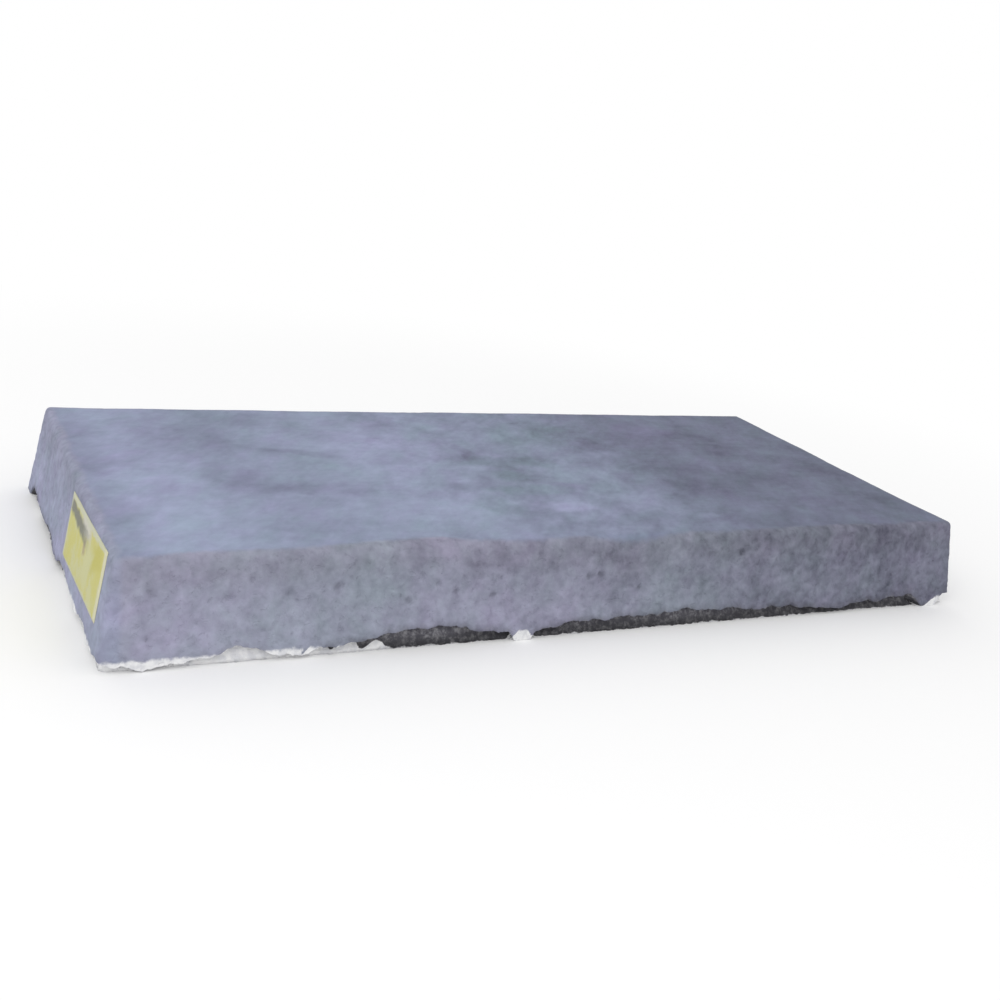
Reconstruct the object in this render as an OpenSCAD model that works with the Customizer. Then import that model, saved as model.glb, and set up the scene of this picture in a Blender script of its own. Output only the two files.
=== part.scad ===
/* [Slab] */
// Length of the top face
top_l = 914; // [600:1:1300]
// Width of the top face
top_w = 406; // [300:1:900]
// Overall height
slab_h = 95; // [90:1:150]
// Lean of the four sides from upright, in degrees
draft = 8.5; // [2:0.5:12]
// Radius of the four corners, seen from above
corner_r = 6; // [4:1:16]

/* [Top edge] */
// Radius of the rounded top edge where it is tightest
edge_r = 8; // [5:0.5:9]
// How much that radius grows where the edge swells most
edge_swell = 9; // [0:0.5:12]
// Height of the slow wave that runs all along the edge
edge_wave = 1.5; // [0:0.1:2]
// Length of one slow wave
edge_pitch = 120; // [60:5:200]

/* [Ragged rim] */
// Height of the broken lower rim above the ground, on average
rim_h = 14; // [8:0.5:16]
// Height of the small teeth between its bites
tooth_h = 2.2; // [0:0.2:4]
// Spacing of the small teeth
tooth_pitch = 62; // [30:1:90]
// Thickness of the rim's lip
lip_t = 3; // [2:0.5:5]
// How far the foot is set back beneath the rim
foot_set = 11; // [8:1:18]
// How far it is still set back at the ground, where it has slumped outwards
foot_toe = 5; // [4:0.5:8]

/* [Label] */
// Length of the label along the end of the slab
label_l = 164; // [60:1:220]
// Height of the label up the slope
label_h = 61; // [30:1:66]
// Thickness of the label
label_t = 0.25; // [0.15:0.05:1]
// Distance from the top face down the slope to the label
label_drop = 10; // [10:1:14]
// Distance from the front corner to the label
label_inset = 18; // [17:1:40]
// How far the label is turned askew, its front end up, in degrees
label_turn = 2; // [0:0.5:2]
// Radius of the label's corners
label_r = 2; // [1:0.5:6]

/* [Hidden] */

station_pitch = 10;  // spacing of the outline's points
corner_steps = 5;    // facets round a corner
edge_steps = 5;      // facets over the top edge
foot_sink = 3;       // what the casting holds below the ground before it is cut level
cut_room = 50;       // how far the levelling cut reaches past the slab

// Bites broken up into the rim and drips that hang below it, going round from the front left corner.
// Each has its place as a share of one turn, half its width and its rise.
rim_bites = [
    [0.014, 75, -10], [0.0395, 12, 4], [0.060, 60, -8], [0.103, 66, 7], [0.139, 48, -5], [0.139, 15, -24],
    [0.172, 40, 2.5], [0.208, 100, 4], [0.278, 50, -7], [0.300, 30, -3], [0.314, 25, 2], [0.331, 26, -16],
    [0.372, 40, 5], [0.418, 34, -10], [0.421, 16, -11], [0.470, 35, 4],
    [0.528, 60, 5], [0.575, 45, -8], [0.632, 70, 4], [0.690, 38, -9], [0.687, 15, -8], [0.742, 60, 3],
    [0.790, 40, -6], [0.846, 30, -19], [0.880, 45, -5], [0.915, 50, -8], [0.955, 55, -7], [0.984, 40, -5]
];

// Places where the top edge is rounded over more broadly, or less at two of the corners, in the same form,
// with the rise as a share of edge_swell
edge_swells = [
    [0.100, 150, 1.0], [0.205, 90, 0.3], [0.342, 70, -0.35], [0.400, 110, 0.2], [0.560, 160, 0.15], [0.720, 180, 0.25],
    [0.843, 70, -0.35]
];

side_l = [top_l, top_w, top_l, top_w];
corner_l = corner_r * PI / 2;
girth = 2 * (top_l + top_w) + 4 * corner_l;
edge_waves = round(girth / edge_pitch);
teeth = round(girth / tooth_pitch);
fine_teeth = round(2.3 * girth / tooth_pitch);
label_y = -top_w / 2 + label_inset + label_l / 2;

// How far the leaning side stands out past the top face at height z
function flare(z) = (slab_h - z) * tan(draft);

// Distance between two places on the outline, the short way round
function apart(a, b) = min(abs(a - b), girth - abs(a - b));

// A smooth hump, 1 at its middle and 0 past its half width
function hump(d, half) = d < half ? (1 + cos(180 * d / half)) / 2 : 0;

function sum(list, i = 0) = i < len(list) ? list[i] + sum(list, i + 1) : 0;

// The bites or swells of a list, added up at place s
function humps(list, s) = sum([for (b = list) b[2] * hump(apart(s, b[0] * girth), b[1])]);

// Rounded drips with sharp notches between them, evenly above and below 0
function tooth(s, count, shift) = 1.3 - 2 * abs(sin(180 * count * s / girth + shift));

// Height of the rim's lowest edge at place s
function rim_z(s) = max(-foot_sink / 2,
    rim_h + humps(rim_bites, s) + tooth_h * (0.6 * tooth(s, teeth, 30) + 0.4 * tooth(s, fine_teeth, 75)));

// Radius of the top edge at place s
function edge_radius(s) =
    edge_r + edge_swell * humps(edge_swells, s) + edge_wave * (1 + sin(360 * edge_waves * s / girth)) / 2;

// The stations that the outline is drawn through: [side, share of the side from -1 to 1, turn at the corner]
stations = [
    for (k = [0 : 3])
        let (n = round(side_l[k] / station_pitch))
        each concat(
            [for (j = [0 : n]) [k, 2 * j / n - 1, 0]],
            [for (j = [1 : corner_steps - 1]) [k, 1, 90 * j / corner_steps]]
        )
];
count = len(stations);

// Place of a station along the outline, from the front left corner
function place(st) =
    sum([for (k = [0 : 1 : st[0] - 1]) side_l[k] + corner_l]) + (st[1] + 1) / 2 * side_l[st[0]] + corner_l * st[2] / 90;

// The point of a station, a distance out from the top face's outline and at height z
function outline_point(st, out, z) =
    let (
        r = max(1, corner_r + min(out, 0)),
        half_along = side_l[st[0]] / 2 + out - r,
        half_across = side_l[(st[0] + 1) % 4] / 2 + out - r,
        along = st[1] * half_along + r * sin(st[2]),
        across = half_across + r * cos(st[2]),
        turn = 90 * st[0]
    )
    [along * cos(turn) + across * sin(turn), along * sin(turn) - across * cos(turn), z];

// The slab's section at a station, from the foot up to the top face: pairs of distance out and height
function section(st) =
    let (
        s = place(st),
        low = rim_z(s),
        r = edge_radius(s),
        axis_z = slab_h - r,
        axis_out = flare(axis_z) - r / cos(draft)
    )
    concat(
        [
            [flare(-foot_sink) - foot_toe, -foot_sink],
            [flare(low + lip_t) - foot_set, low + lip_t],
            [flare(low) - lip_t, low],
            [flare(low + lip_t / 2), low + lip_t / 2]
        ],
        [
            for (j = [0 : edge_steps])
                let (a = draft + (90 - draft) * j / edge_steps)
                [axis_out + r * cos(a), axis_z + r * sin(a)]
        ]
    );

sections = [for (st = stations) section(st)];
rows = len(sections[0]);

// The slab's skin: one ring of points for each row of the section, closed by a fan at the foot and at the top
module casting() {
    rings = [for (row = [0 : rows - 1], i = [0 : count - 1])
        outline_point(stations[i], sections[i][row][0], sections[i][row][1])];
    foot_mid = count * rows;
    top_mid = foot_mid + 1;
    walls = [
        for (row = [0 : rows - 2], i = [0 : count - 1])
            let (
                a = row * count + i,
                b = row * count + (i + 1) % count
            )
            each [[a, a + count, b], [b, a + count, b + count]]
    ];
    foot_fan = [for (i = [0 : count - 1]) [foot_mid, i, (i + 1) % count]];
    top_fan = [for (i = [0 : count - 1]) [top_mid, (rows - 1) * count + (i + 1) % count, (rows - 1) * count + i]];
    polyhedron(concat(rings, [[0, 0, -foot_sink], [0, 0, slab_h]]), concat(walls, foot_fan, top_fan));
}

// Everything below the ground, which cuts the foot and the lowest drips level
module ground() {
    size = [top_l + 2 * flare(0) + 2 * cut_room, top_w + 2 * flare(0) + 2 * cut_room, cut_room];
    translate([0, 0, -cut_room / 2]) cube(size, center = true);
}

module pad() {
    color("lightslategray")
        difference() {
            casting();
            ground();
        }
}

// A flat plate with round corners, centred
module rounded_plate(l, w, r, t) {
    linear_extrude(t) {
        square([l - 2 * r, w], center = true);
        square([l, w - 2 * r], center = true);
        for (x = [-1, 1], y = [-1, 1])
            translate([x * (l / 2 - r), y * (w / 2 - r)]) circle(r, $fn = 32);
    }
}

module label() {
    color("khaki")
        translate([-top_l / 2, label_y, slab_h])
            rotate([0, draft, 0])
                translate([0, 0, -label_drop - label_h / 2])
                    rotate([0, -90, 0])
                        rotate([0, 0, label_turn])
                            rounded_plate(label_h, label_l, label_r, label_t);
}

pad();
label();
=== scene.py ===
"""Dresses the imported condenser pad: its cast slab, the sticker on one end, and the studio round it."""

import logging
import math
from dataclasses import dataclass, field
from enum import Enum

import bmesh
import bpy
from bpy.types import Material, Node, NodeSocket as Socket, NodeTree, Object
from mathutils import Matrix, Vector, noise


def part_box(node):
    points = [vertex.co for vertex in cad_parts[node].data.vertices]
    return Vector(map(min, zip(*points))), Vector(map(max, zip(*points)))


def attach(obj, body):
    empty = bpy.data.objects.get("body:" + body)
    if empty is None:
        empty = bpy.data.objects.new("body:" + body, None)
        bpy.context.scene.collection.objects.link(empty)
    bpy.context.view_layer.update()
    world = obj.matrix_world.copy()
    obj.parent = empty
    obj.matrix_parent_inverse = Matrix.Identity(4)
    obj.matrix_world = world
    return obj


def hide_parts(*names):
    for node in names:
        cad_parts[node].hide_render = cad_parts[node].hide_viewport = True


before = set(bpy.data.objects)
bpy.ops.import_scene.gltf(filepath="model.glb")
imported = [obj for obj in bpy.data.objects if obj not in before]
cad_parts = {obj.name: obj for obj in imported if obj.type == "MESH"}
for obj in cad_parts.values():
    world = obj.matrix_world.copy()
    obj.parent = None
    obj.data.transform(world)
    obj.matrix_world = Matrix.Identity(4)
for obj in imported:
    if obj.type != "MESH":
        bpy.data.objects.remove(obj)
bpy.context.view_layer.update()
log = logging.getLogger("condenser_pad")

Pair = tuple[float, float]
Triple = tuple[float, float, float]
Colour = Triple
Stops = tuple[Pair, ...]
Entry = float | Socket

# In metres. The last three mark the foot and the lip in the mesh's attributes.
MM = 0.001
TOP_Z = 0.095
HALF_TOP = 0.457
FOOT_CLIMB = -0.09
LIP_CLIMB = -0.085
UNDER_RIM = -0.01

# Unseeded, the vector noise would start from the clock.
NOISE_SEED = 1


# ---------------- shapes


@dataclass(frozen=True)
class Hump:
    """A smooth rise or dip along the slab's outline.

    Its place is a share of one turn from the front left corner, and half its width is in millimetres.
    """

    turn: float
    half: float
    rise: float

    def at(self, s: float, girth: float) -> float:
        """How far it rises at place s along an outline of that girth, both in metres."""
        gap = abs(s - self.turn * girth)
        share = min(gap, girth - gap) / (self.half * MM)
        return self.rise * (1 + math.cos(math.pi * share)) / 2 if share < 1 else 0.0


Humps = tuple[Hump, ...]


def humps(*values: Triple) -> Humps:
    """Humps from the turn, half width and rise of each."""
    return tuple(Hump(*value) for value in values)


@dataclass(frozen=True)
class Pit:
    """An air hole in the front face: its place along X, its height, its radius and its depth, in mm."""

    x: float
    z: float
    radius: float
    depth: float


@dataclass
class Station:
    """One point of the slab's section: how far out it lies, how high, and which way its skin faces.

    Attributes:
        out: Distance out from the top face's outline, in metres.
        z: Height above the ground, in metres.
        lean: Angle of the outward normal above level, in radians.
        climb: Distance along the skin past the middle of the top edge, inwards, in metres.
        roughness: Share of the cast relief that it takes.
    """

    out: float
    z: float
    lean: float
    climb: float
    roughness: float


def blend_step(low: float, high: float, value: float) -> float:
    """A smooth step from 0 at low to 1 at high."""
    share = min(1.0, max(0.0, (value - low) / (high - low)))
    return share * share * (3 - 2 * share)


def new_object(name: str, data: bpy.types.ID) -> Object:
    """Puts an object in the scene, at the origin."""
    item = bpy.data.objects.new(name, data)
    bpy.context.scene.collection.objects.link(item)
    return item


def new_piece(name: str, bm: bmesh.types.BMesh, finish: Material) -> Object:
    """Makes an object of a finished bmesh, smooth and in one material.

    Args:
        name: The piece's name.
        bm: The shape, in the frame's metres. It is freed.
        finish: The piece's material.

    Returns:
        The object, at the origin.
    """
    mesh = bpy.data.meshes.new(name)
    bm.to_mesh(mesh)
    bm.free()
    mesh.shade_smooth()
    mesh.materials.append(finish)
    return new_object(name, mesh)


@dataclass
class Slab:
    """The cast slab: leaning sides, a soft wavy top edge, a broken rim, and a foot set back beneath it.

    Sizes are in millimetres up to end_calm, and in metres from pit_reach on.
    """

    height: float = 95.0
    draft: float = 8.5
    corner_r: float = 6.0
    edge_r: float = 8.0
    edge_swell: float = 9.0
    edge_wave: float = 1.5
    edge_pitch: float = 120.0
    rim_h: float = 14.0
    tooth_h: float = 2.2
    tooth_pitch: float = 62.0
    lip_t: float = 3.0
    foot_set: float = 11.0
    foot_toe: float = 2.5
    foot_sink: float = 3.0
    crumb_h: float = 1.8
    crumb_sag: float = 2.0
    crumb_out: float = 12.0
    columns: tuple[int, ...] = (500, 150, 300, 200)
    corner_columns: int = 6
    foot_rows: int = 5
    rim_shares: tuple[float, ...] = (0.35, 0.7, 1.0)
    lip_shares: tuple[float, ...] = (0.33, 0.66)
    side_rows: int = 38
    edge_rows: int = 9
    top_rings: tuple[float, ...] = (2, 4.5, 8, 13, 20, 30, 44, 64, 90)
    bites: Humps = humps(
        (0.014, 75, -10), (0.0395, 12, 4), (0.06, 60, -8), (0.103, 66, 7), (0.139, 48, -5), (0.139, 15, -24),
        (0.172, 40, 2.5), (0.208, 100, 4), (0.278, 50, -7), (0.3, 30, -3), (0.314, 25, 2), (0.331, 26, -16),
        (0.372, 40, 5), (0.418, 34, -10), (0.421, 16, -11), (0.47, 35, 4), (0.528, 60, 5), (0.575, 45, -8),
        (0.632, 70, 4), (0.69, 38, -9), (0.687, 15, -8), (0.742, 60, 3), (0.79, 40, -6), (0.846, 30, -19),
        (0.88, 45, -5), (0.915, 50, -8), (0.955, 55, -7), (0.984, 40, -5),
    )
    swells: Humps = humps(
        (0.1, 150, 1.0), (0.205, 90, 0.3), (0.342, 70, -0.35), (0.4, 110, 0.2), (0.56, 160, 0.15),
        (0.72, 180, 0.25), (0.843, 70, -0.35),
    )
    coat_reach: float = 4.5
    reaches: Humps = humps(
        (0.005, 45, -3), (0.085, 90, 7.5), (0.1035, 50, 6.5), (0.139, 40, -1.5), (0.182, 65, -8.5),
        (0.279, 160, 2),
    )
    mounds: Humps = humps(
        (0.0645, 17, 13), (0.0745, 17, 14), (0.085, 17, 7.5), (0.139, 16, 13), (0.3415, 40, 17),
        (0.6, 30, 12), (0.87, 26, 12),
    )
    mound_fade: float = 5.0
    pits: tuple[Pit, ...] = (
        Pit(-271, 61, 5, 1.6), Pit(-158, 52, 4.2, 1.3), Pit(-20, 58, 3.2, 1.4), Pit(-6, 59, 4, 1.7),
        Pit(162, 73, 4.6, 1.6), Pit(-204, 46, 5, 1), Pit(-120, 46, 3.8, 1.3), Pit(40, 44, 3.4, 1.1),
    )
    swell_depth: float = 0.5
    lump_depth: float = 0.6
    mark_depth: float = 0.22
    dimple_depth: float = 0.42
    hole_depth: float = 0.8
    foot_depth: float = 2.2
    end_calm: float = 0.4
    pit_reach: float = 0.004
    label_reach: float = 0.005
    label_fade: Pair = (0.001, 0.009)
    label_y: Pair = (-0.187, -0.019)
    label_z: Pair = (0.021, 0.092)
    pale_x: Pair = (-0.29, -0.31)
    pale_y: Pair = (0.03, -0.06)
    top_l: float = field(init=False)
    top_w: float = field(init=False)
    girth: float = field(init=False)

    def __post_init__(self) -> None:
        """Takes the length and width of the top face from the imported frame's box."""
        low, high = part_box("pad")
        flare = 2 * self.flare(0.0)
        self.top_l = high.x - low.x - flare
        self.top_w = high.y - low.y - flare
        self.girth = 2 * (self.top_l + self.top_w) + 4 * self.corner_arc

    @property
    def corner_arc(self) -> float:
        """Length of the outline round one corner, in metres."""
        return self.corner_r * MM * math.pi / 2

    def flare(self, z: float) -> float:
        """How far the leaning side stands out past the top face at height z, in metres."""
        return (self.height * MM - z) * math.tan(math.radians(self.draft))

    def raised(self, listed: Humps, s: float) -> float:
        """All the humps of a list added up at place s, in the humps' own unit."""
        return sum(hump.at(s, self.girth) for hump in listed)

    def waves(self, s: float, count: int, shift: float) -> float:
        """Rounded drips with sharp notches between them, evenly above and below 0."""
        return 1.3 - 2 * abs(math.sin(math.pi * count * s / self.girth + math.radians(shift)))

    def rim(self, s: float) -> float:
        """Height of the rim's lowest edge at place s, in metres."""
        teeth = round(self.girth / (self.tooth_pitch * MM))
        fine_teeth = round(2.3 * self.girth / (self.tooth_pitch * MM))
        fringe = self.tooth_h * (0.6 * self.waves(s, teeth, 30) + 0.4 * self.waves(s, fine_teeth, 75))
        return max(-self.foot_sink / 2, self.rim_h + self.raised(self.bites, s) + fringe) * MM

    def edge_radius(self, s: float) -> float:
        """Radius of the top edge at place s, in metres."""
        turns = round(self.girth / (self.edge_pitch * MM))
        swell = self.edge_swell * self.raised(self.swells, s)
        wave = self.edge_wave * (1 + math.sin(2 * math.pi * turns * s / self.girth)) / 2
        return (self.edge_r + swell + wave) * MM

    def column_places(self) -> list[tuple[float, int, float, float]]:
        """Goes once round the outline.

        Returns:
            For each column its place s, its side, its share along that side from -1 to 1, and its turn at the
            corner in radians. The last column lies on the first.
        """
        places = []
        start = 0.0
        for side, count in enumerate(self.columns):
            length = self.top_w if side % 2 else self.top_l
            for step in range(count):
                places.append((start + length * step / count, side, 2 * step / count - 1, 0.0))
            for step in range(self.corner_columns):
                share = step / self.corner_columns
                places.append((start + length + self.corner_arc * share, side, 1.0, share * math.pi / 2))
            start += length + self.corner_arc
        return places + [places[0]]

    def on_outline(self, side: int, along: float, turn: float, out: float, z: float) -> Vector:
        """The point of a column at a distance out from the top face's outline.

        Args:
            side: The side of the slab, counted from the front to the left end.
            along: Share along the side, from -1 to 1.
            turn: Turn at the corner, in radians.
            out: Distance out from the top face's outline, in metres.
            z: Height, in metres.

        Returns:
            The point, in the frame's metres.
        """
        radius = max(MM, self.corner_r * MM + min(out, 0.0))
        length, width = (self.top_w, self.top_l) if side % 2 else (self.top_l, self.top_w)
        point = Vector((
            along * (length / 2 + out - radius) + radius * math.sin(turn),
            -(width / 2 + out - radius) - radius * math.cos(turn),
            z,
        ))
        return Matrix.Rotation(side * math.pi / 2, 3, "Z") @ point

    def section(self, s: float, crumb: float) -> list[Station]:
        """The slab's section at place s, from the foot on the ground up and in over the top face.

        Args:
            s: Place along the outline, in metres.
            crumb: How far the fine crumbling lifts the rim here, in metres.

        Returns:
            The section's stations, as many at every place.
        """
        top = self.height * MM
        lip = self.lip_t * MM
        draft = math.radians(self.draft)
        low = max(self.rim(s) + crumb, -self.foot_sink / 2 * MM)
        sunk = -self.foot_sink * MM
        toe = self.flare(sunk) - self.foot_toe * MM
        heel = self.flare(low + lip) - self.foot_set * MM
        ground = toe + (heel - toe) * -sunk / (low + lip - sunk)
        radius = self.edge_radius(s)
        axis_z = top - radius
        axis_out = self.flare(axis_z) - radius / math.cos(draft)
        arc = radius * (math.pi / 2 - draft)
        spring_z = axis_z + radius * math.sin(draft)
        stations = []
        for row in range(self.foot_rows):
            share = row / (self.foot_rows - 1)
            out = ground + (heel - ground) * share
            stations.append(Station(out, (low + lip) * share, 0.0, FOOT_CLIMB, 0.9))
        for share in self.rim_shares:
            out = heel + (self.flare(low) - lip - heel) * share
            stations.append(Station(out, low + lip * (1 - share) ** 1.5, -1.4, FOOT_CLIMB, 0.5))
        for share in self.lip_shares:
            turn = share * math.pi / 2
            out = self.flare(low) - lip * (1 - math.sin(turn))
            z = low + lip * (1 - math.cos(turn)) / 2
            stations.append(Station(out, z, turn - math.pi / 2, LIP_CLIMB, 0.6))
        foot_z = low + lip / 2
        for row in range(self.side_rows):
            z = foot_z + (spring_z - foot_z) * row / (self.side_rows - 1)
            climb = -arc / 2 - (spring_z - z) / math.cos(draft)
            stations.append(Station(self.flare(z), z, draft, climb, 1.0))
        for row in range(1, self.edge_rows + 1):
            share = row / self.edge_rows
            lean = draft + (math.pi / 2 - draft) * share
            out = axis_out + radius * math.cos(lean)
            z = axis_z + radius * math.sin(lean)
            stations.append(Station(out, z, lean, arc * (share - 0.5), 1 - 0.8 * share))
        for ring in self.top_rings:
            inward = ring * MM
            stations.append(Station(axis_out - inward, top, math.pi / 2, arc / 2 + inward, 0.12))
        for station in stations:
            station.z = max(0.0, station.z)
        return stations

    def relief(self, point: Vector) -> tuple[float, float]:
        """The cast texture at a point of the sides.

        Args:
            point: A point of the smooth skin, in metres.

        Returns:
            Its depth below the smooth skin in metres, and how much of that is a pit, from 0 to 1.
        """
        slow = 0.5 + 0.5 * noise.fractal(point * 16, 1.0, 2.0, 3)
        lumps = 0.5 + 0.5 * noise.fractal(point * 85 + Vector((7.0, 3.0, 1.0)), 0.8, 2.1, 3)
        ridge = 1 - abs(noise.noise(point * 120 + noise.noise_vector(point * 50) * 0.8))
        marks = blend_step(0.7, 0.99, ridge) * blend_step(0.0, 0.4, noise.noise(point * 22))
        dimples = blend_step(0.12, 0.62, noise.noise(point * 130 + Vector((2.0, 9.0, 4.0))))
        distances, cells = noise.voronoi(point * 46)
        luck = noise.cell(cells[0] * 7.3)
        size = 0.05 + 0.12 * abs(luck) ** 2
        hole = blend_step(size, size * 0.3, distances[0]) if luck > 0.1 else 0.0
        depth = self.swell_depth * slow + self.lump_depth * lumps + self.mark_depth * marks
        depth += self.dimple_depth * dimples + self.hole_depth * hole
        pit = 0.7 * hole
        if point.y < -self.top_w / 2 + self.pit_reach:
            for own in self.pits:
                gap = math.hypot(point.x - own.x * MM, point.z - own.z * MM) / (own.radius * MM)
                gap += 0.55 * noise.noise(point * 210) + 0.25 * noise.noise(point * 520)
                dent = blend_step(1.2, 0.2, gap)
                depth += own.depth * dent
                pit = max(pit, dent)
        return depth * MM, pit

    def bare(self, point: Vector) -> float:
        """Share of the relief that is kept at a point: none beneath the label, where the skin stays flat."""
        if point.x > -self.top_l / 2 + self.label_reach:
            return 1.0
        (left, right), (low, high) = self.label_y, self.label_z
        gap = max(left - point.y, point.y - right, low - point.z, point.z - high)
        return blend_step(*self.label_fade, gap)

    def pale(self, s: float, point: Vector) -> float:
        """How pale with lime the foot and the drips are at a point at place s, from 0 to 1: in low mounds."""
        front = blend_step(*self.pale_x, point.x) * blend_step(*self.pale_y, point.y)
        mound = self.raised(self.mounds, s) - point.z / MM
        return max(front, min(1.0, max(0.0, 0.5 + mound / self.mound_fade)))

    def coat(self, s: float) -> float:
        """How far past the middle of the top edge the sides' coat reaches in at place s, in metres."""
        return (self.coat_reach + self.raised(self.reaches, s)) * MM

    def build(self, finish: Material) -> Object:
        """Wraps a fine sheet round the outline, roughens it inwards and closes it at the top and the foot.

        Args:
            finish: The slab's concrete.

        Returns:
            The slab, which stands for the CAD pad.
        """
        places = self.column_places()
        sections = []
        for s, side, along, turn in places:
            spot = self.on_outline(side, along, turn, self.crumb_out * MM, 0.0)
            crumb = noise.fractal(spot * 75, 0.6, 2.2, 4) + 0.5 * noise.noise(spot * 330)
            crumb *= self.end_calm if side == 3 else 1.0
            sections.append(self.section(s, (crumb * self.crumb_h - self.crumb_sag) * MM))
        rows = len(sections[0])
        lip_row = self.foot_rows + len(self.rim_shares)
        bm = bmesh.new()
        bmesh.ops.create_grid(bm, x_segments=len(places) - 1, y_segments=rows - 1, size=0.5)
        climb_layer = bm.verts.layers.float.new("climb")
        rim_layer = bm.verts.layers.float.new("above_rim")
        pit_layer = bm.verts.layers.float.new("pit")
        pale_layer = bm.verts.layers.float.new("pale")
        for vertex in bm.verts:
            column = round((vertex.co.x + 0.5) * (len(places) - 1))
            row = round((vertex.co.y + 0.5) * (rows - 1))
            s, side, along, turn = places[column]
            station = sections[column][row]
            point = self.on_outline(side, along, turn, station.out, station.z)
            depth, pit = self.relief(point)
            keep = self.bare(point) * station.roughness
            if row < self.foot_rows:
                depth += self.foot_depth * MM * (0.5 + 0.5 * noise.fractal(point * 130, 0.7, 2.0, 3))
            out = station.out - depth * keep * math.cos(station.lean)
            z = station.z - depth * keep * math.sin(station.lean)
            vertex.co = self.on_outline(side, along, turn, out, min(max(0.0, z), self.height * MM))
            vertex[climb_layer] = station.climb - self.coat(s)
            above = station.z - sections[column][lip_row + 1].z
            vertex[rim_layer] = above if row >= lip_row else UNDER_RIM
            vertex[pit_layer] = pit * keep
            vertex[pale_layer] = self.pale(s, point)
        bmesh.ops.remove_doubles(bm, verts=bm.verts, dist=1e-6)
        rims = [edge for edge in bm.edges if edge.is_boundary]
        for level in (True, False):
            ring = [edge for edge in rims if (edge.verts[0].co.z > self.height * MM / 2) is level]
            cap = bmesh.ops.contextual_create(bm, geom=ring)["faces"]
            bmesh.ops.triangulate(bm, faces=cap)
        bmesh.ops.recalc_face_normals(bm, faces=bm.faces)
        piece = new_piece("cast_slab", bm, finish)
        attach(piece, "root")
        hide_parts("pad")
        return piece


@dataclass
class Sticker:
    """The bare paper sticker on the slab's left end, a little askew and smoothed over the top edge.

    Sizes are in millimetres, and the turn askew in degrees.
    """

    length: float = 164.0
    height: float = 61.0
    thickness: float = 0.2
    drop: float = 8.0
    inset: float = 18.0
    askew: float = 3.0
    corner: float = 2.0
    ripple: float = 0.25

    def settle(self, slab: Slab, across: float, down: float, lift: float) -> Vector:
        """The place of a point of the sheet on the slab's end.

        Args:
            slab: The slab.
            across: Distance from the sheet's middle towards the front, in millimetres.
            down: Distance down the slope from the line where the top and the end would meet, in millimetres.
            lift: Height above the slab's skin, in millimetres.

        Returns:
            The point, in the frame's metres.
        """
        draft = math.radians(slab.draft)
        y = -slab.top_w / 2 + (self.inset + self.length / 2 - across) * MM
        radius = slab.edge_radius(slab.girth - slab.corner_arc - (y + slab.top_w / 2)) / MM
        axis_down = (radius - radius * math.sin(draft)) / math.cos(draft)
        bend = max(0.0, axis_down - down) / radius
        along = max(down, axis_down)
        out = along * math.sin(draft) - radius * math.cos(draft) + (radius + lift) * math.cos(draft + bend)
        z = slab.height - along * math.cos(draft) - radius * math.sin(draft)
        z += (radius + lift) * math.sin(draft + bend)
        return Vector((-slab.top_l / 2 - out * MM, y, z * MM))

    def build(self, slab: Slab, finish: Material) -> Object:
        """Lays a thin rounded sheet on the leaning end, a little rippled, with a UV map for its print.

        Args:
            slab: The slab that it sticks to.
            finish: The sticker's paper.

        Returns:
            The sticker, which stands for the CAD label.
        """
        bm = bmesh.new()
        bmesh.ops.create_grid(bm, x_segments=120, y_segments=44, size=0.5)
        sheet = bm.loops.layers.uv.new("sheet")
        for face in bm.faces:
            for loop in face.loops:
                loop[sheet].uv = (loop.vert.co.x + 0.5, loop.vert.co.y + 0.5)
        for vertex in bm.verts:
            flat = Vector((vertex.co.x * self.length, vertex.co.y * self.height))
            hub = Vector((self.length / 2 - self.corner, self.height / 2 - self.corner))
            past = Vector((abs(flat.x) - hub.x, abs(flat.y) - hub.y))
            if min(past) > 0 and past.length > self.corner:
                past = past.normalized() * self.corner
                flat = Vector((math.copysign(hub.x + past.x, flat.x), math.copysign(hub.y + past.y, flat.y)))
            vertex.co = flat.to_3d()
        bmesh.ops.solidify(bm, geom=bm.faces[:], thickness=-self.thickness)
        turn = Matrix.Rotation(math.radians(self.askew), 3, "Z")
        bmesh.ops.rotate(bm, cent=(0, 0, 0), matrix=turn, verts=bm.verts)
        for vertex in bm.verts:
            across, up, lift = vertex.co
            swell = noise.fractal(Vector((across / 26, up / 18, 2.0)), 1.0, 2.0, 2)
            lift += self.ripple * (0.5 + 0.5 * swell)
            vertex.co = self.settle(slab, across, self.drop + self.height / 2 - up, lift)
        bmesh.ops.recalc_face_normals(bm, faces=bm.faces)
        piece = new_piece("end_sticker", bm, finish)
        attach(piece, "root")
        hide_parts("label")
        return piece


# ---------------- finishes


class Axis(Enum):
    """The axes that coordinates are turned about."""

    Y = "Y_AXIS"
    Z = "Z_AXIS"


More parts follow.
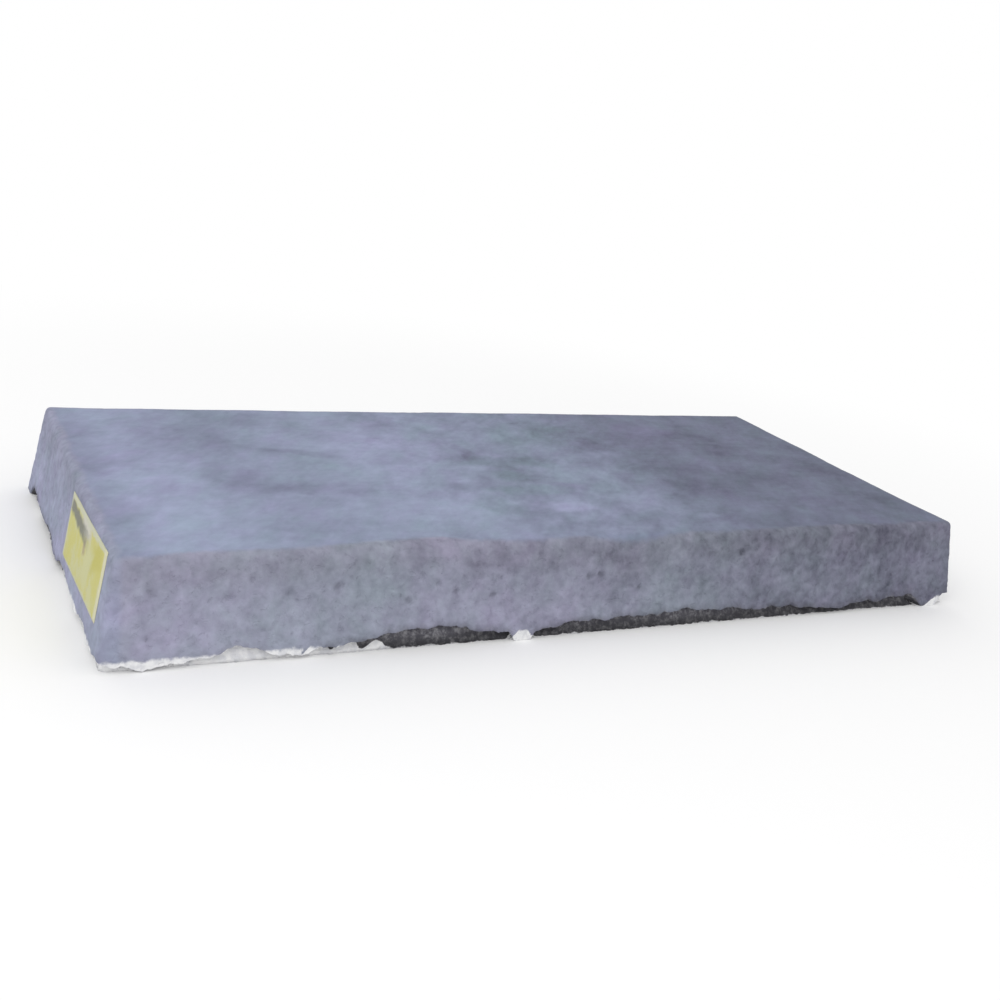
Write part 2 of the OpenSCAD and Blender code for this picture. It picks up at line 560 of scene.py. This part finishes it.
class Graph:
    """Short ways to add nodes to a tree and to join them."""

    def __init__(self, tree: NodeTree) -> None:
        """Takes the tree of a material or of a node group."""
        self.tree = tree

    def put(self, socket: Socket, value: Entry | tuple) -> None:
        """Joins a socket to another, or gives it a value."""
        if isinstance(value, Socket):
            self.tree.links.new(value, socket)
        else:
            socket.default_value = value

    def add(self, kind: str, inputs: dict | None = None, **settings: object) -> Node:
        """Adds a node.

        Args:
            kind: The node's type, without its ShaderNode prefix.
            inputs: Values or sockets for its inputs, by name or number.
            **settings: Its properties.

        Returns:
            The node.
        """
        node = self.tree.nodes.new("ShaderNode" + kind)
        for name, value in settings.items():
            setattr(node, name, value)
        for key, value in (inputs or {}).items():
            self.put(node.inputs[key], value)
        return node

    def math(self, operation: str, a: Entry, b: Entry = 0.0, c: Entry = 0.0) -> Socket:
        """Does one sum on single numbers."""
        return self.add("Math", {0: a, 1: b, 2: c}, operation=operation).outputs[0]

    def times(self, a: Entry, b: Entry) -> Socket:
        """One number times another."""
        return self.math("MULTIPLY", a, b)

    def total(self, *values: Entry) -> Socket:
        """Adds several numbers up."""
        result = values[0]
        for value in values[1:]:
            result = self.math("ADD", result, value)
        return result

    def scaled(self, value: Entry, amount: Entry, middle: float = 0.5) -> Socket:
        """A share about its middle, times an amount."""
        return self.times(self.math("SUBTRACT", value, middle), amount)

    def between(self, share: Entry, a: Entry, b: Entry) -> Socket:
        """A number that goes from a to b as the share goes from 0 to 1."""
        return self.add("Mix", {0: share, 2: a, 3: b}, data_type="FLOAT").outputs[0]

    def vector(self, operation: str, a: Socket, b: Socket | Triple = (0.0, 0.0, 0.0)) -> Socket:
        """Does one sum on vectors."""
        return self.add("VectorMath", {0: a, 1: b}, operation=operation).outputs[0]

    def length(self, place: Socket) -> Socket:
        """Distance of a place from the origin."""
        return self.add("VectorMath", {0: place}, operation="LENGTH").outputs["Value"]

    def axes(self, place: Socket) -> bpy.types.bpy_prop_collection:
        """The X, Y and Z of a place."""
        return self.add("SeparateXYZ", {0: place}).outputs

    def stretched(self, place: Socket, stretch: Triple) -> Socket:
        """Coordinates drawn out along the axes."""
        return self.vector("MULTIPLY", place, stretch)

    def turned(self, place: Socket, angle: Entry, axis: Axis = Axis.Z) -> Socket:
        """Coordinates turned about an axis, by an angle in radians."""
        inputs = {"Vector": place, "Angle": angle}
        return self.add("VectorRotate", inputs, rotation_type=axis.value).outputs[0]

    def sway(self, place: Socket, scale: float, detail: float, reach: Triple) -> Socket:
        """A random shift for coordinates, up to half its reach either way."""
        wander = self.add("TexNoise", {"Vector": place, "Scale": scale, "Detail": detail, "Roughness": 0.5})
        return self.stretched(self.vector("SUBTRACT", wander.outputs["Color"], (0.5, 0.5, 0.5)), reach)

    def step(self, value: Entry, low: Entry, high: float, start: float = 0.0, end: float = 1.0) -> Socket:
        """A smooth step of a value, from start at low to end at high."""
        inputs = {"Value": value, "From Min": low, "From Max": high, "To Min": start, "To Max": end}
        return self.add("MapRange", inputs, interpolation_type="SMOOTHSTEP").outputs["Result"]

    def blend(self, factor: Entry, a: Socket | Colour, b: Socket | Colour, kind: str = "MIX") -> Socket:
        """Mixes two colours, the factor not held to 0 and 1."""
        sides = [value if isinstance(value, Socket) else (*value, 1.0) for value in (a, b)]
        inputs = {0: factor, 6: sides[0], 7: sides[1]}
        settings = {"data_type": "RGBA", "blend_type": kind, "clamp_factor": False}
        return self.add("Mix", inputs, **settings).outputs[2]

    def noise(
        self, place: Socket, size: float, detail: float = 3.0, roughness: float = 0.5, warp: float = 0.0
    ) -> Socket:
        """Noise with features of about one size, in millimetres."""
        inputs = {"Vector": place, "Scale": 1 / MM / size, "Detail": detail, "Roughness": roughness}
        return self.add("TexNoise", inputs | {"Distortion": warp}).outputs["Fac"]

    def mottle(self, amount: Entry, place: Socket, *shape: float) -> Socket:
        """Noise of an amount, evenly above and below 0. Its shape is given as for noise."""
        return self.scaled(self.noise(place, *shape), amount)

    def along(self, x: Socket, stops: Stops) -> Socket:
        """Grey levels from the slab's left end to its right, smoothly through stops of place and level."""
        share = self.add("MapRange", {"Value": x, "From Min": -HALF_TOP, "From Max": HALF_TOP})
        node = self.add("ValToRGB", {0: share.outputs["Result"]})
        node.color_ramp.interpolation = "EASE"
        points = node.color_ramp.elements
        while len(points) < len(stops):
            points.new(0.5)
        for point, (place, level) in zip(points, stops):
            point.position = place
            point.color = (level, level, level, 1.0)
        return node.outputs["Color"]

    def bump(self, height: Socket, strength: float, distance: float) -> Socket:
        """The normal of a skin with a fine relief, its distance in metres."""
        inputs = {"Height": height, "Strength": strength, "Distance": distance}
        return self.add("Bump", inputs).outputs["Normal"]

    def seen(self) -> Socket:
        """1 for the rays that the eye sees, also in a reflection, and 0 for those that only light."""
        rays = self.add("LightPath").outputs
        shown = self.math("MAXIMUM", rays["Is Camera Ray"], rays["Is Glossy Ray"])
        return self.math("MAXIMUM", shown, rays["Is Transmission Ray"])


class Kind(Enum):
    """The sockets that the node groups use."""

    NUMBER = "NodeSocketFloat"
    VECTOR = "NodeSocketVector"


class Group(Graph):
    """The graph of a node group, with the sockets of what it takes and gives."""

    def __init__(self, name: str, takes: dict[str, Kind], gives: tuple[str, ...]) -> None:
        """Starts a group from its name, what it takes and of which kind, and the numbers that it gives."""
        super().__init__(bpy.data.node_groups.new(name, "ShaderNodeTree"))
        for socket, kind in takes.items():
            self.tree.interface.new_socket(socket, in_out="INPUT", socket_type=kind.value)
        for socket in gives:
            self.tree.interface.new_socket(socket, in_out="OUTPUT", socket_type=Kind.NUMBER.value)
        self.given = self.tree.nodes.new("NodeGroupInput").outputs
        self.leave = self.tree.nodes.new("NodeGroupOutput").inputs

    def spread_out(self) -> Socket:
        """The group's place, seen from its centre and turned."""
        gap = self.vector("SUBTRACT", self.given["Place"], self.given["Centre"])
        return self.turned(gap, self.given["Turn"])


class Effects:
    """The node groups that the finishes share, each built once."""

    spot = {"Place": Kind.VECTOR, "Centre": Kind.VECTOR, "Spread": Kind.VECTOR, "Turn": Kind.NUMBER}

    def __init__(self) -> None:
        """Builds the groups."""
        self.patch = self.build_patch()
        self.box = self.build_box()
        self.grain = self.build_grain()

    def build_patch(self) -> NodeTree:
        """A soft round patch: place, centre, spread and turn in, mask out."""
        group = Group("soft patch", self.spot, ("Mask",))
        share = group.vector("DIVIDE", group.spread_out(), group.given["Spread"])
        group.put(group.leave["Mask"], group.step(group.length(share), 1.45, 0.55))
        return group.tree

    def build_box(self) -> NodeTree:
        """A soft-edged box: place, centre, spread, turn and softness in, mask out."""
        group = Group("soft box", self.spot | {"Soft": Kind.NUMBER}, ("Mask",))
        gap = group.vector("ABSOLUTE", group.spread_out())
        share = group.axes(group.vector("DIVIDE", gap, group.given["Spread"]))
        reach = group.math("MAXIMUM", share["X"], share["Y"])
        group.put(group.leave["Mask"], group.step(reach, group.total(1.0, group.given["Soft"]), 1.0))
        return group.tree

    def build_grain(self) -> NodeTree:
        """Fine sandy grain: place in, height and specks out."""
        group = Group("fine grain", {"Place": Kind.VECTOR}, ("Height", "Specks"))
        place = group.given["Place"]
        specks = group.noise(group.vector("ADD", place, (3.1, 1.7, 0.4)), 3.2, 2.0, 0.6)
        group.put(group.leave["Height"], group.noise(place, 1.6, 3.0, 0.65))
        group.put(group.leave["Specks"], group.step(specks, 0.56, 0.72))
        return group.tree


class Surface(Graph):
    """The graph of a material, with its shader, its object coordinates and the shared effects."""

    def __init__(self, name: str, effects: Effects) -> None:
        """Starts a material."""
        self.material = bpy.data.materials.new(name)
        self.material.use_nodes = True
        super().__init__(self.material.node_tree)
        self.effects = effects
        self.shader = self.tree.nodes["Principled BSDF"]
        self.place = self.add("TexCoord").outputs["Object"]

    def shade(self, name: str, value: Entry) -> None:
        """Sets one of the shader's inputs."""
        self.put(self.shader.inputs[name], value)

    def attribute(self, name: str) -> Socket:
        """A number that the mesh bears."""
        return self.add("Attribute", attribute_name=name).outputs["Fac"]

    def mask(self, group: NodeTree, place: Socket, centre: Triple, spread: Triple, **more: float) -> Socket:
        """Where a soft patch or box lies."""
        inputs = {"Place": place, "Centre": centre, "Spread": spread} | more
        return self.add("Group", inputs, node_tree=group).outputs["Mask"]


@dataclass(frozen=True)
class Patch:
    """A patch of the trowelled top: middle and half sizes in millimetres, turn in degrees, and what it does.

    The strength is how much lighter it is, and the hue how purple. Below 0 it is darker, or greener.
    """

    x: float
    y: float
    half_x: float
    half_y: float
    turn: float
    strength: float
    hue: float = 0.0

    def mask(self, graph: Surface, place: Socket) -> Socket:
        """Where the patch lies."""
        centre = (self.x * MM, self.y * MM, TOP_Z)
        spread = (self.half_x * MM, self.half_y * MM, 1.0)
        return graph.mask(graph.effects.patch, place, centre, spread, Turn=math.radians(-self.turn))


@dataclass(frozen=True)
class ConcreteFinish:
    """Blue-grey cast concrete, trowelled on top, mottled on its sides, with painted shade in its pits and
    grime and painted shade at its foot.
    """

    top_light: Colour = (0.268, 0.307, 0.426)
    top_dark: Colour = (0.131, 0.146, 0.214)
    face_light: Colour = (0.33, 0.345, 0.44)
    face_dark: Colour = (0.174, 0.182, 0.24)
    purple: Colour = (1.05, 0.975, 1.04)
    green: Colour = (0.95, 1.025, 0.96)
    cool: Colour = (0.95, 1.0, 1.025)
    shaded: Colour = (0.86, 0.85, 0.83)
    # Near black, for the foot under the rim: part grime, part painted shade of the gap under the rim.
    dirt_and_shade: Colour = (0.047, 0.046, 0.053)
    crust: Colour = (0.15, 0.148, 0.155)
    # Painted light: it lifts the foot's colour towards the rim, against the shade under the rim.
    painted_light_lift: Colour = (2.5, 2.5, 2.55)
    lime: Colour = (0.92, 0.92, 0.925)
    # Painted shade in the pits.
    pit_shade: Colour = (0.085, 0.088, 0.115)
    sweep: float = -50.0
    slant: float = -62.0
    gloss: float = 0.3
    relief: float = 0.8
    relief_depth: float = 0.0011
    top_tones: Stops = (
        (0.01, 0.8), (0.05, 1.02), (0.09, 0.98), (0.17, 0.78), (0.3, 0.9), (0.4, 0.78), (0.47, 0.58),
        (0.6, 0.55), (0.72, 0.1), (0.97, 0.02),
    )
    face_tones: Stops = ((0.02, 1.0), (0.3, 0.69), (0.55, 0.46), (0.75, 0.07), (0.97, 0.0))
    face_hues: Stops = (
        (0.03, 0.85), (0.15, 0.45), (0.22, 0.15), (0.36, 0.85), (0.46, 0.8), (0.6, 0.2), (0.72, 0.5),
        (1.0, 0.65),
    )
    patches: tuple[Patch, ...] = tuple(Patch(*values) for values in (
        (-437, 0, 20, 210, 0, -0.1, 0.1), (-390, 30, 80, 190, 0, 0.0, 0.55),
        (-335, 95, 48, 62, 0, -0.22, -0.1), (-232, 50, 38, 8, -17, -0.24, 0.3),
        (-320, -12, 22, 30, 0, -0.12, 0.2), (-230, -57, 64, 16, -4, -0.26, 0.3),
        (-335, -115, 46, 60, 0, 0.1, -0.2), (-405, -135, 50, 62, 0, 0.22),
        (-225, -108, 110, 30, 0, 0.14, 0.1), (-130, 152, 50, 30, 0, -0.16, 0.1),
        (-132, 62, 64, 92, 0, 0.1, 0.5), (-118, -125, 50, 40, 0, 0.05, 0.1),
        (-42, 50, 10, 24, -15, -0.28, 1.0), (-20, 16, 44, 18, 0, -0.2, -1.0),
        (-20, -32, 16, 24, -5, -0.2, -0.9), (32, 12, 24, 15, 10, -0.14, -0.8),
        (-84, -58, 42, 10, -6, -0.18, -0.3), (-8, -72, 56, 12, -5, -0.06, -1.0),
        (-72, -114, 16, 36, 25, -0.16, -0.8), (34, -72, 24, 19, 0, -0.2, 1.1),
        (4, -119, 30, 14, 0, 0.46, 0.7), (72, -40, 34, 60, 0, 0.16, -0.5), (80, 120, 60, 40, 20, -0.12, -0.9),
        (148, -157, 14, 9, 20, 0.3, 0.3), (182, -70, 40, 34, 20, -0.16, 0.3),
        (335, 0, 120, 56, 0, -0.08, 0.1), (288, 78, 48, 44, 0, -0.14, 0.2), (138, 66, 26, 26, 0, -0.26, 0.1),
        (-403, -72, 34, 32, 0, 0.13), (-28, -82, 72, 30, 0, 0.12), (84, -116, 26, 22, 0, 0.15),
        (27, -160, 28, 20, 0, -0.18), (134, -165, 26, 18, 0, -0.1), (352, 14, 28, 22, 0, -0.17),
        (350, 128, 32, 36, 0, 0.13), (385, -118, 50, 22, 0, -0.14), (-255, 158, 50, 20, 0, -0.12),
        (245, 128, 40, 30, 0, 0.0, 1.2), (322, 52, 36, 24, 20, -0.2, 0.2),
    ))

    def trowelled(self, graph: Surface) -> Socket:
        """The trowelled top's colour.

        Args:
            graph: The concrete's graph.

        Returns:
            The colour: light at the left and dark at the right, with patches and swept strokes.
        """
        place = graph.place
        warped = graph.vector("ADD", place, graph.sway(place, 26, 3, (0.045, 0.04, 0)))
        tones, hues = [], []
        for patch in self.patches:
            mask = patch.mask(graph, warped)
            tones.append(graph.times(mask, patch.strength))
            hues.append(graph.times(mask, patch.hue))
        x = graph.axes(warped)["X"]
        swept = graph.stretched(graph.turned(place, math.radians(self.sweep)), (0.55, 1, 1))
        calm = graph.times(graph.step(x, -0.22, -0.06, 1, 1.3), graph.step(x, 0.08, 0.24, 1, 0.45))
        tone = graph.total(
            graph.along(x, self.top_tones), *tones,
            graph.mottle(0.9, place, 75, 2, 0.5, 0.6),
            graph.mottle(graph.times(calm, 0.7), swept, 22, 3, 0.5, 0.5),
            graph.mottle(graph.math("MULTIPLY_ADD", calm, 0.4, 0.15), swept, 8, 4, 0.6, 0.3),
            graph.mottle(0.24, graph.stretched(place, (0.3, 1, 1)), 8, 3, 0.55),
        )
        hue = graph.total(*hues, self.drift(graph, swept))
        return self.tinted(graph, graph.blend(tone, self.top_dark, self.top_light), hue)

    @staticmethod
    def drift(graph: Surface, place: Socket) -> Socket:
        """The concrete's own drift between purple and green, about evenly above and below 0."""
        moved = graph.vector("ADD", place, (0.7, 0.4, 0.2))
        return graph.total(graph.mottle(2.6, moved, 60, 2), graph.mottle(3.2, moved, 20, 3, 0.55))

    def tinted(self, graph: Surface, colour: Socket, hue: Socket) -> Socket:
        """A colour turned towards purple where the hue is above 0, and towards green where it is below."""
        tint = graph.blend(graph.math("MULTIPLY_ADD", hue, 0.5, 0.5), self.green, self.purple)
        return graph.blend(1.0, colour, tint, "MULTIPLY")

    def cast(self, graph: Surface, climb: Socket, fray: Socket, marks: Socket) -> Socket:
        """The cast sides' colour.

        Args:
            graph: The concrete's graph.
            climb: Distance past the middle of the top edge, inwards.
            fray: Fine noise that frays the borders.
            marks: Mask of the small dark marks.

        Returns:
            The colour: mottled, darker in a band under the top edge, and lighter towards the foot with
                painted light from the ground.
        """
        place, axes = graph.place, graph.axes(graph.place)
        x = axes["X"]
        slanted = graph.stretched(graph.turned(place, math.radians(self.slant), Axis.Y), (0.45, 0.45, 1))
        right = graph.times(graph.step(x, 0.18, 0.3), graph.step(x, 0.47, 0.42))
        strokes = graph.scaled(graph.noise(slanted, 8, 2, 0.5, 0.3), 0.36)
        tone = graph.total(
            graph.along(x, self.face_tones),
            graph.mottle(0.8, place, 50, 2, 0.5, 0.4),
            graph.mottle(1, place, 20, 2, 0.5, 0.4),
            graph.mottle(1.1, place, 8, 2, 0.5, 0.3),
            graph.times(marks, -0.18),
            graph.times(right, strokes),
            # Painted light: the lower face is lighter towards the foot, more at the left, in place of light
            # from the bright ground.
            graph.times(graph.step(axes["Z"], 0.066, 0.03), graph.step(x, 0.1, 0.32, 0.22, 0.05)),
        )
        drift = graph.scaled(self.drift(graph, place), 0.8, 0)
        hue = graph.total(graph.scaled(graph.along(x, self.face_hues), 1.6), drift)
        side = self.tinted(graph, graph.blend(tone, self.face_dark, self.face_light), hue)
        side = graph.blend(graph.step(x, -0.447, -0.455), side, self.cool, "MULTIPLY")
        darker = graph.blend(1.0, side, self.shaded, "MULTIPLY")
        band = graph.total(climb, graph.mottle(0.03, place, 70), graph.scaled(fray, 0.01))
        return graph.blend(graph.step(band, -0.042, -0.016, 0, 0.65), side, darker)

    def soiled_and_shaded(self, graph: Surface, body: Socket, fray: Socket) -> Socket:
        """Lays grime and painted shade, a painted lift of light, and lime over the foot and the rim.

        Args:
            graph: The concrete's graph.
            body: The clean concrete's colour.
            fray: Fine noise that frays the borders.

        Returns:
            The colour.
        """
        place, height = graph.place, graph.axes(graph.place)["Z"]
        above, pale = graph.attribute("above_rim"), graph.attribute("pale")
        # Where the foot lies, below the rim.
        below_rim = graph.step(graph.total(above, graph.scaled(fray, 0.007)), 0.0008, -0.0018)
        # Near black grime flecked with crust, which is also painted shade, for the foot and for the band just
        # above the rim.
        soil_and_shade = graph.blend(graph.step(graph.noise(place, 6, 4, 0.7), 0.42, 0.72), self.dirt_and_shade, self.crust)
        # Painted light: the foot grows lighter from 3 mm to 12 mm up, towards the rim.
        foot = graph.blend(graph.step(height, 0.003, 0.012), soil_and_shade, self.painted_light_lift, "MULTIPLY")
        limed = graph.step(graph.total(pale, graph.mottle(0.7, place, 9, 3, 0.6)), 0.4, 0.58)
        # Painted shade with some grime: the face darkens towards the rim, less where it is limed.
        stain_and_shade_band = graph.step(graph.total(above, graph.mottle(0.012, place, 9)), 0.0085, -0.0025, 0, 0.5)
        kept = graph.total(1.0, graph.times(limed, -0.6))
        body = graph.blend(graph.times(stain_and_shade_band, kept), body, soil_and_shade)
        fresh = graph.step(graph.noise(place, 8, 3, 0.6), 0.36, 0.6, 0.72, 1)
        lime = graph.blend(fresh, self.face_light, self.lime)
        tip = graph.times(limed, graph.step(graph.total(height, graph.scaled(fray, 0.008)), 0.0115, 0.008))
        body = graph.blend(tip, graph.blend(below_rim, body, foot), lime)
        return graph.blend(graph.times(below_rim, limed), body, lime)

    def material(self, effects: Effects) -> Material:
        """Builds the concrete.

        Args:
            effects: The shared node groups.

        Returns:
            The material.
        """
        graph = Surface("cast concrete", effects)
        place = graph.place
        grain = graph.add("Group", {"Place": place}, node_tree=effects.grain).outputs
        climb = graph.attribute("climb")
        fray = graph.noise(place, 7, 3, 0.6)
        edge = graph.total(climb, graph.mottle(0.008, place, 45), graph.scaled(fray, 0.006))
        trowelled = graph.step(edge, -0.004, 0.005)
        marks = graph.step(graph.noise(place, 7, 3, 0.6, 0.5), 0.54, 0.7)
        body = graph.blend(trowelled, self.cast(graph, climb, fray, marks), self.trowelled(graph))
        # Painted shade: the pits are darkened on top of their real depth.
        body = graph.blend(graph.times(graph.attribute("pit"), 0.5), body, self.pit_shade)
        graph.shade("Base Color", self.soiled_and_shaded(graph, body, fray))
        rough = graph.total(0.86, graph.times(trowelled, -0.14), graph.scaled(grain["Height"], 0.25))
        graph.shade("Roughness", rough)
        graph.shade("Specular IOR Level", self.gloss)
        sand = graph.times(grain["Height"], 0.14)
        rough_side = graph.total(
            graph.times(graph.noise(place, 5.5, 3, 0.5, 0.6), 0.85), sand,
            graph.times(grain["Specks"], -0.14), graph.times(marks, -0.4),
        )
        strokes = graph.noise(graph.stretched(place, (0.25, 1, 1)), 5, 3, 0.6)
        height = graph.between(trowelled, rough_side, graph.total(sand, graph.times(strokes, 0.12)))
        graph.shade("Normal", graph.bump(height, self.relief, self.relief_depth))
        return graph.material


@dataclass(frozen=True)
class Zone:
    """A soft-edged zone of the sheet: middle and half sizes in mm, turn in radians, and share of softness."""

    x: float
    y: float
    half_x: float
    half_y: float
    turn: float
    soft: float

    def mask(self, graph: Surface, sheet: Socket) -> Socket:
        """Where the zone lies."""
        centre, spread = (self.x, self.y, 0.0), (self.half_x, self.half_y, 1.0)
        return graph.mask(graph.effects.box, sheet, centre, spread, Turn=self.turn, Soft=self.soft)


@dataclass(frozen=True)
class PaperFinish:
    """Yellow printed stock with a plain pale panel, a dark bar and a worn border, without lettering."""

    yellow: Colour = (0.585, 0.55, 0.15)
    faded: Colour = (0.59, 0.58, 0.28)
    deep: Colour = (0.53, 0.49, 0.09)
    panel: Colour = (0.6, 0.58, 0.49)
    bar: Colour = (0.17, 0.17, 0.125)
    stain: Colour = (0.42, 0.35, 0.18)
    border: Colour = (0.57, 0.575, 0.43)
    edge: Colour = (0.67, 0.65, 0.43)
    dust: Colour = (0.42, 0.42, 0.43)
    size: Triple = (164.0, 61.0, 0.0)
    smear: Triple = (9.0, 9.0, 0.0)
    gloss: float = 0.35
    relief: float = 0.35
    relief_depth: float = 0.0004

    def material(self, effects: Effects) -> Material:
        """Builds the sticker's paper on its own UV map.

        Args:
            effects: The shared node groups.

        Returns:
            The material.
        """
        graph = Surface("yellow paper", effects)
        place = graph.place
        grain = graph.add("Group", {"Place": place}, node_tree=effects.grain).outputs
        sheet = graph.stretched(graph.add("UVMap", uv_map="sheet").outputs["UV"], self.size)
        sheet = graph.vector("ADD", sheet, graph.sway(place, 90, 2, self.smear))
        fade = graph.step(graph.noise(place, 28, 4, 0.6), 0.44, 0.66)
        colour = graph.blend(fade, self.yellow, self.faded)
        for ink, zone in (
            (self.deep, Zone(126, 42, 12, 5, -0.4, 2.4)),
            (self.faded, Zone(100, 26, 8, 12, 0.3, 1.4)),
            (self.panel, Zone(77, 53, 12, 5.5, -0.1, 1.3)),
            (self.stain, Zone(79, 36, 3, 4, -0.3, 1.2)),
            (self.bar, Zone(31, 48, 25.5, 3.2, 0.09, 1.8)),
        ):
            colour = graph.blend(zone.mask(graph, sheet), colour, ink)
        inside = Zone(82, 29, 75, 25.5, 0, 0.1).mask(graph, sheet)
        colour = graph.blend(graph.times(graph.math("SUBTRACT", 1.0, inside), 0.85), colour, self.border)
        front = Zone(162, 26, 5, 28, 0, 1).mask(graph, sheet)
        colour = graph.blend(front, colour, self.edge)
        specks = graph.times(grain["Specks"], graph.step(graph.noise(place, 22), 0.45, 0.75, 0, 0.5))
        graph.shade("Base Color", graph.blend(specks, colour, self.dust))
        graph.shade("Roughness", graph.total(0.48, graph.scaled(grain["Height"], 0.3)))
        graph.shade("Specular IOR Level", self.gloss)
        height = graph.total(graph.noise(place, 14), grain["Height"])
        graph.shade("Normal", graph.bump(height, self.relief, self.relief_depth))
        return graph.material


@dataclass(frozen=True)
class FloorFinish:
    """A plain pale floor that runs out into white."""

    shade: Colour = (0.72, 0.72, 0.73)
    seen: Colour = (1.0, 1.0, 1.0)
    near: float = 0.65
    far: float = 1.3

    def material(self, effects: Effects) -> Material:
        """Builds the floor: pale to the light, near white to the eye, and all white far out."""
        graph = Surface("pale floor", effects)
        seen = graph.seen()
        graph.shade("Base Color", graph.blend(seen, self.shade, self.seen))
        graph.shade("Roughness", 1.0)
        graph.shade("Specular IOR Level", 0.0)
        glow = graph.add("Emission", {"Strength": 1.0}).outputs[0]
        fade = graph.times(graph.step(graph.length(graph.place), self.near, self.far), seen)
        mixed = graph.add("MixShader", {0: fade, 1: graph.shader.outputs[0], 2: glow})
        graph.put(graph.tree.nodes["Material Output"].inputs["Surface"], mixed.outputs[0])
        return graph.material


# ---------------- studio


@dataclass
class Studio:
    """The floor, the soft light and the camera, in metres and degrees, its lens and sensor in millimetres."""

    floor_radius: float = 6.0
    world_level: float = 0.93
    lamp_place: Triple = (-1.5, -1.3, 1.7)
    lamp_size: float = 1.4
    lamp_watts: float = 7.0
    eye: Triple = (-0.6292, -1.1025, 0.4915)
    heading: float = 29.282
    dip: float = 19.013
    roll: float = 8.937
    lens: float = 44.0
    sensor: float = 36.0

    def floor(self, effects: Effects) -> Object:
        """Lays the round floor, which is no part of the object."""
        bm = bmesh.new()
        bmesh.ops.create_circle(bm, cap_ends=True, segments=96, radius=self.floor_radius)
        piece = new_piece("studio_floor", bm, FloorFinish().material(effects))
        return piece

    def lamp(self) -> Object:
        """Hangs one broad soft lamp over the left end."""
        data = bpy.data.lights.new("soft_lamp", "AREA")
        data.shape = "DISK"
        data.size = self.lamp_size
        data.energy = self.lamp_watts
        lamp = new_object("soft_lamp", data)
        lamp.location = self.lamp_place
        lamp.rotation_euler = (-Vector(self.lamp_place)).to_track_quat("-Z", "Y").to_euler()
        return lamp

    def world(self) -> None:
        """Fills the room with even light, and shows plain white behind."""
        world = bpy.data.worlds.new("studio")
        world.use_nodes = True
        bpy.context.scene.world = world
        graph = Graph(world.node_tree)
        backdrop = world.node_tree.nodes["Background"]
        graph.put(backdrop.inputs["Color"], (1.0, 1.0, 1.0, 1.0))
        graph.put(backdrop.inputs["Strength"], graph.between(graph.seen(), self.world_level, 1.0))

    def camera(self) -> Object:
        """Sets the camera from its heading, its dip below level and its roll."""
        turn, dip, roll = (math.radians(angle) for angle in (self.heading, self.dip, self.roll))
        ahead = Vector((math.sin(turn) * math.cos(dip), math.cos(turn) * math.cos(dip), -math.sin(dip)))
        level = Vector((math.cos(turn), -math.sin(turn), 0.0))
        upright = level.cross(ahead)
        right = level * math.cos(roll) + upright * math.sin(roll)
        up = upright * math.cos(roll) - level * math.sin(roll)
        data = bpy.data.cameras.new("camera")
        data.lens = self.lens
        data.sensor_width = self.sensor
        camera = new_object("camera", data)
        camera.matrix_world = Matrix.Translation(self.eye) @ Matrix((right, up, -ahead)).transposed().to_4x4()
        bpy.context.scene.camera = camera
        return camera


def main() -> None:
    """Builds the slab, its sticker and the studio, and reports each piece."""
    logging.basicConfig(level=logging.INFO, format="%(message)s")
    bpy.context.scene.view_settings.view_transform = "Standard"
    noise.seed_set(NOISE_SEED)
    effects = Effects()
    slab = Slab()
    studio = Studio()
    pieces = [
        slab.build(ConcreteFinish().material(effects)),
        Sticker().build(slab, PaperFinish().material(effects)),
        studio.floor(effects), studio.lamp(), studio.camera(),
    ]
    studio.world()
    for piece in pieces:
        faces = len(piece.data.polygons) if piece.type == "MESH" else 0
        log.info("%s: %d faces", piece.name, faces)


if __name__ == "__main__":
    main()
